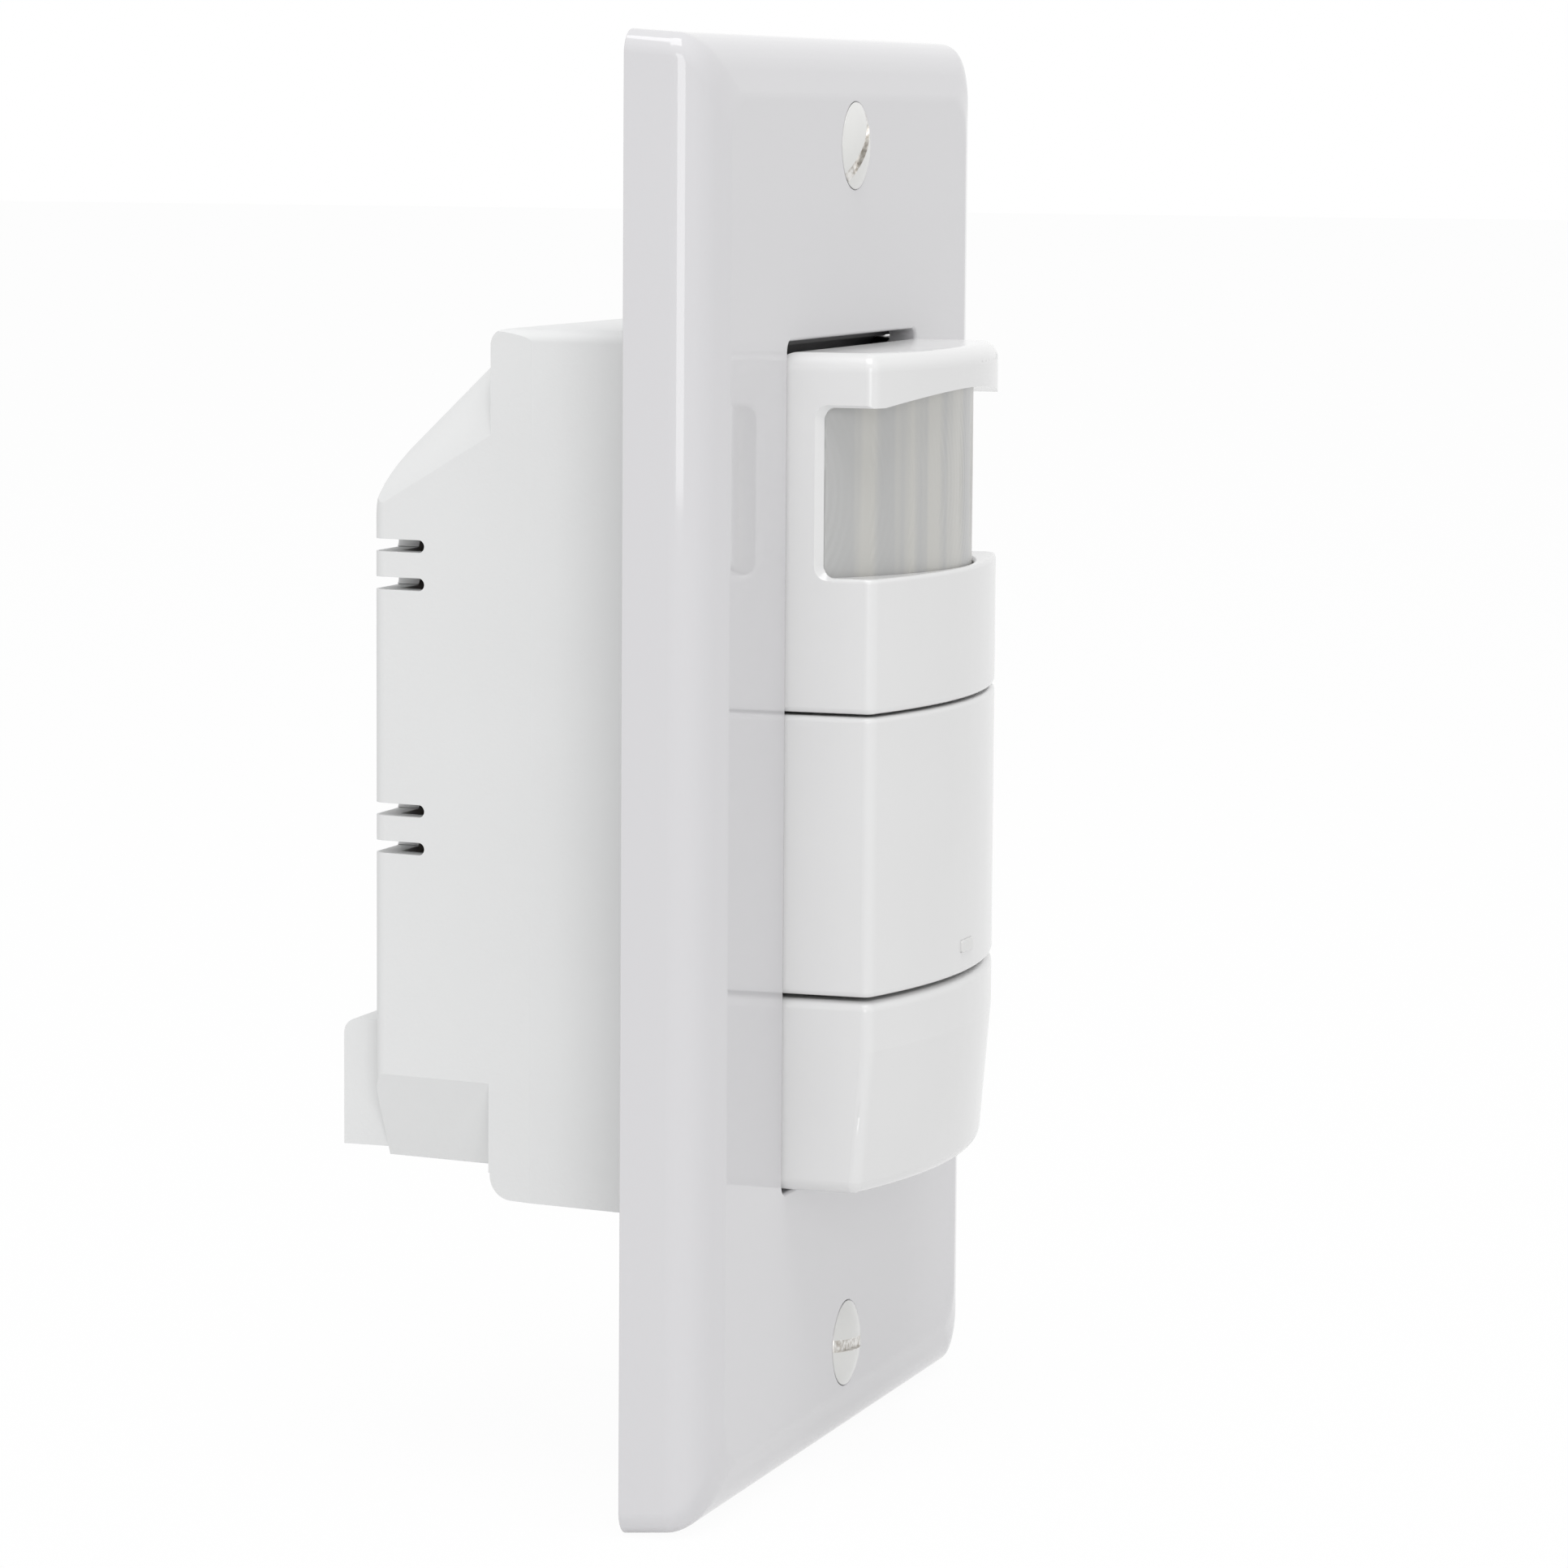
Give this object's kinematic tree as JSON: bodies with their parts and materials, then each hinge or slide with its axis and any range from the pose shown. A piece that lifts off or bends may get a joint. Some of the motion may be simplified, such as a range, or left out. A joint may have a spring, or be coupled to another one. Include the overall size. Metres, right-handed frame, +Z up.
{
  "type": "motion sensor light switch",
  "caption": "Wall light switch with a hooded wrap-round motion sensor lens above two push buttons, framed by a decorator plate, with a vented rear housing.",
  "frame": {"origin": "middle of the wall plate on the surface of the wall, between the two box mounting holes", "axes": "+X to the right seen from the front, +Y into the wall, +Z up; the front faces -Y"},
  "size_m": [0.0698, 0.047, 0.1142],
  "materials": {
    "gloss_white": "gloss",
    "housing_white": "fine matt texture",
    "frame_white": "satin",
    "frame_black": "satin",
    "painted_screw": "gloss paint",
    "lens": "milky",
    "light_window": "milky",
    "yoke_steel": "zinc plated",
    "ground_screw": "green",
    "screw_steel": "satin",
    "circuit_board": "solder mask",
    "brown_laminate": "clear coat",
    "bare_can": "satin",
    "sensor_window": "gloss",
    "sensor_resin": "gloss",
    "status_led": "gloss",
    "black_plastic": "satin",
    "blue_plastic": "satin",
    "inner_white": "satin",
    "red_plastic": "satin",
    "yellow_plastic": "satin",
    "varistor": "coated",
    "brown_plastic": "satin",
    "brass": "bare"
  },
  "bodies": {
    "switch": {"wall_plate": "gloss_white", "plate_screws": "painted_screw", "mounting_yoke": "yoke_steel", "ground_screw": "ground_screw", "rear_housing": "housing_white", "front_frame": "frame_black", "housing_screws": "screw_steel", "board_screws": "screw_steel", "sensor_bezel": "gloss_white", "fresnel_lens": "lens", "lens_holder": "frame_white", "sensor_board": "circuit_board", "pir_sensor_base": "bare_can", "pir_sensor_can": "bare_can", "pir_sensor_window": "sensor_window", "light_sensor": "sensor_resin", "status_led": "status_led", "upper_tact_switch": "black_plastic", "lower_tact_switch": "black_plastic", "time_trimmer_body": "blue_plastic", "light_trimmer_body": "blue_plastic", "option_switch_body": "red_plastic", "control_chip": "black_plastic", "board_header": "black_plastic", "power_board": "brown_laminate", "relay_a": "brown_plastic", "relay_b": "brown_plastic", "film_capacitor": "yellow_plastic", "canister_capacitors": "bare_can", "varistor": "varistor", "fuse": "brown_plastic", "terminal_clamps": "brass", "terminal_screws": "brass"},
    "upper_button": {"upper_button": "gloss_white", "status_light_window": "light_window"},
    "lower_button": {"lower_button": "gloss_white"},
    "upper_tact_plunger": {"upper_tact_plunger": "black_plastic"},
    "lower_tact_plunger": {"lower_tact_plunger": "black_plastic"},
    "time_trimmer_rotor": {"time_trimmer_rotor": "inner_white"},
    "light_trimmer_rotor": {"light_trimmer_rotor": "inner_white"},
    "option_slider_1": {"option_slider_1": "inner_white"},
    "option_slider_2": {"option_slider_2": "inner_white"},
    "option_slider_3": {"option_slider_3": "inner_white"},
    "option_slider_4": {"option_slider_4": "inner_white"}
  },
  "joints": [
    {"name": "upper_button_slide", "type": "slide", "parent": "switch", "child": "upper_button", "axis": [0, 1, 0], "range_m": [0, 0.0005], "stiffness_N_per_m": 2000, "springref_m": -0.0005},
    {"name": "lower_button_slide", "type": "slide", "parent": "switch", "child": "lower_button", "axis": [0, 1, 0], "range_m": [0, 0.0005], "stiffness_N_per_m": 2000, "springref_m": -0.0005},
    {"name": "upper_plunger_slide", "type": "slide", "parent": "switch", "child": "upper_tact_plunger", "axis": [0, 1, 0], "range_m": [0, 0.0005]},
    {"name": "lower_plunger_slide", "type": "slide", "parent": "switch", "child": "lower_tact_plunger", "axis": [0, 1, 0], "range_m": [0, 0.0005]},
    {"name": "time_trimmer_turn", "type": "hinge", "parent": "switch", "child": "time_trimmer_rotor", "pos_m": [0.0084, -0.0075, -0.0019], "axis": [0, 1, 0], "range_deg": [-135, 135]},
    {"name": "light_trimmer_turn", "type": "hinge", "parent": "switch", "child": "light_trimmer_rotor", "pos_m": [0.0084, -0.0075, -0.0102], "axis": [0, 1, 0], "range_deg": [-135, 135]},
    {"name": "option_slider_1_slide", "type": "slide", "parent": "switch", "child": "option_slider_1", "axis": [1, 0, 0], "range_m": [0, 0.00144]},
    {"name": "option_slider_2_slide", "type": "slide", "parent": "switch", "child": "option_slider_2", "axis": [1, 0, 0], "range_m": [0, 0.00144]},
    {"name": "option_slider_3_slide", "type": "slide", "parent": "switch", "child": "option_slider_3", "axis": [1, 0, 0], "range_m": [0, 0.00144]},
    {"name": "option_slider_4_slide", "type": "slide", "parent": "switch", "child": "option_slider_4", "axis": [1, 0, 0], "range_m": [0, 0.00144]}
  ],
  "couplings": [
    {"joint": "upper_plunger_slide", "follows": "upper_button_slide", "ratio": 1},
    {"joint": "lower_plunger_slide", "follows": "lower_button_slide", "ratio": 1}
  ]
}
